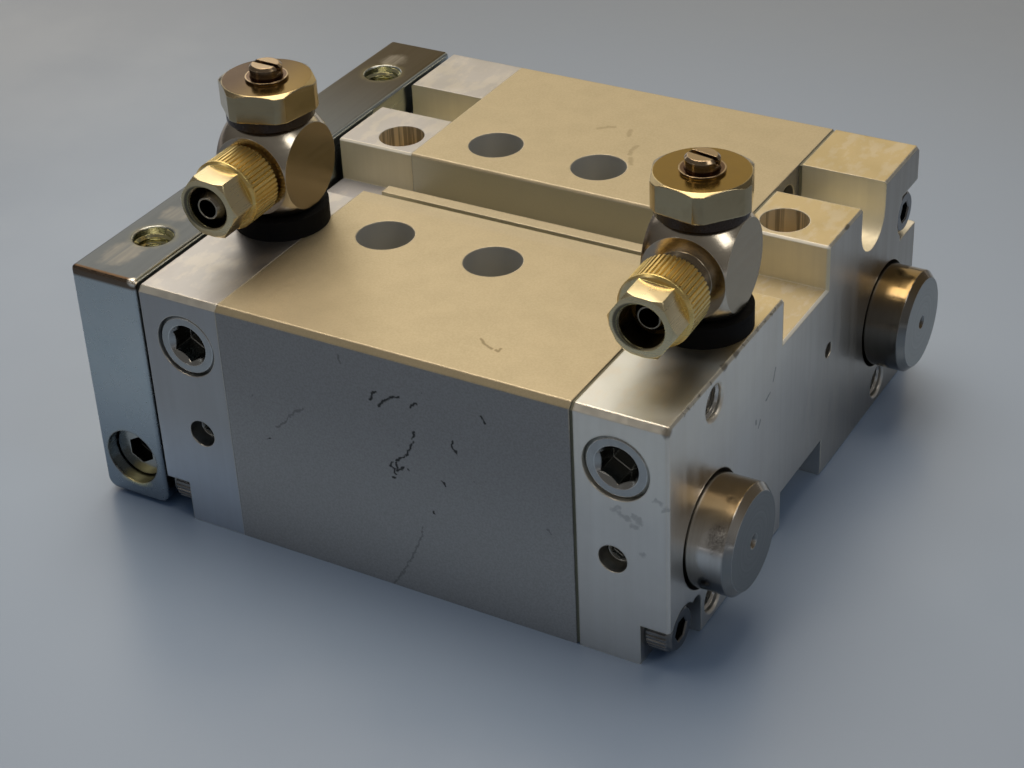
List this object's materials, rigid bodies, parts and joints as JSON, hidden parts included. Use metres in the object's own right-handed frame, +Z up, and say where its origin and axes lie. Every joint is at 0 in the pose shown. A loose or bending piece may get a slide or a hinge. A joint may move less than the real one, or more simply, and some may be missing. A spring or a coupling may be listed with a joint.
{
  "type": "guided pneumatic cylinder",
  "caption": "Flat pneumatic cylinder with two guide rods, one yoke plate that slides out, and swivelling flow control valves on its air ports.",
  "frame": {"origin": "middle of the four mounting holes, on the base", "axes": "+X along the stroke towards the rear cover, so the yoke moves out along -X; +Z up from the base; the side plugs face -Y"},
  "size_m": [0.1016, 0.087, 0.0639],
  "materials": {
    "anodised_barrel": "satin",
    "machined_cover": "satin",
    "black_rubber": "matte",
    "fibre_gasket": "matte",
    "zinc_screw": "satin",
    "plated_plug": "gloss",
    "bronze_bush": "satin",
    "zinc_yoke": "satin",
    "hardened_rod": "gloss",
    "piston_aluminium": "satin",
    "bonded_magnet": "matte",
    "wear_plastic": "matte",
    "nickel_brass": "gloss",
    "dark_nickel": "gloss",
    "copper_ring": "gloss",
    "dark_washer": "matte"
  },
  "bodies": {
    "housing": {"barrel_body": "anodised_barrel", "front_cover": "machined_cover", "rear_cover": "machined_cover", "rear_gasket": "fibre_gasket", "front_cover_oring": "black_rubber", "front_cover_screws": "zinc_screw", "rear_cover_screws": "zinc_screw", "port_plugs": "plated_plug", "lube_plugs": "plated_plug", "front_guide_bush_near": "bronze_bush", "front_guide_bush_far": "bronze_bush", "rear_guide_bush_near": "bronze_bush", "rear_guide_bush_far": "bronze_bush", "guide_wiper_near": "black_rubber", "guide_wiper_far": "black_rubber", "piston_rod_bush": "bronze_bush", "piston_rod_seal": "black_rubber", "front_valve_seal_ring": "black_rubber", "front_valve_hollow_bolt": "nickel_brass", "front_valve_bolt_washer": "dark_washer", "front_valve_check_seal": "black_rubber", "front_valve_retaining_ring": "copper_ring", "rear_valve_seal_ring": "black_rubber", "rear_valve_hollow_bolt": "nickel_brass", "rear_valve_bolt_washer": "dark_washer", "rear_valve_check_seal": "black_rubber", "rear_valve_retaining_ring": "copper_ring"},
    "carriage": {"yoke_plate": "zinc_yoke", "yoke_clamp_screws": "zinc_screw", "yoke_rod_screw": "zinc_screw", "guide_rod_near": "hardened_rod", "guide_rod_far": "hardened_rod", "piston_rod": "hardened_rod", "piston": "piston_aluminium", "piston_nut": "zinc_screw", "front_piston_seal": "black_rubber", "piston_magnet": "bonded_magnet", "piston_wear_ring": "wear_plastic", "rear_piston_seal": "black_rubber", "front_bumper": "black_rubber", "rear_bumper": "black_rubber"},
    "front_valve_arm": {"front_valve_banjo_body": "dark_nickel", "front_valve_union_nut": "nickel_brass"},
    "front_regulator_ring": {"front_valve_regulator_oring": "black_rubber"},
    "front_regulator": {"front_valve_regulating_screw": "copper_ring"},
    "rear_valve_arm": {"rear_valve_banjo_body": "dark_nickel", "rear_valve_union_nut": "nickel_brass"},
    "rear_regulator_ring": {"rear_valve_regulator_oring": "black_rubber"},
    "rear_regulator": {"rear_valve_regulating_screw": "copper_ring"}
  },
  "joints": [
    {"name": "carriage_slide", "type": "slide", "parent": "housing", "child": "carriage", "axis": [-1, 0, 0], "range_m": [0, 0.03]},
    {"name": "front_valve_swivel", "type": "hinge", "parent": "housing", "child": "front_valve_arm", "pos_m": [-0.0255, -0.0182, 0.048], "axis": [0, 0, 1], "continuous": true},
    {"name": "front_regulator_lift", "type": "slide", "parent": "housing", "child": "front_regulator_ring", "axis": [0, 0, 1], "range_m": [-0.0015, 0.001]},
    {"name": "front_regulator_turn", "type": "hinge", "parent": "front_regulator_ring", "child": "front_regulator", "pos_m": [-0.0255, -0.0182, 0.048], "axis": [0, 0, 1], "range_deg": [-1090, 730]},
    {"name": "rear_valve_swivel", "type": "hinge", "parent": "housing", "child": "rear_valve_arm", "pos_m": [0.0425, -0.0182, 0.048], "axis": [0, 0, 1], "continuous": true},
    {"name": "rear_regulator_lift", "type": "slide", "parent": "housing", "child": "rear_regulator_ring", "axis": [0, 0, 1], "range_m": [-0.0015, 0.001]},
    {"name": "rear_regulator_turn", "type": "hinge", "parent": "rear_regulator_ring", "child": "rear_regulator", "pos_m": [0.0425, -0.0182, 0.048], "axis": [0, 0, 1], "range_deg": [-1090, 730]}
  ],
  "couplings": [
    {"joint": "front_regulator_turn", "follows": "front_regulator_lift", "rad_per_m": 12566},
    {"joint": "rear_regulator_turn", "follows": "rear_regulator_lift", "rad_per_m": 12566}
  ]
}
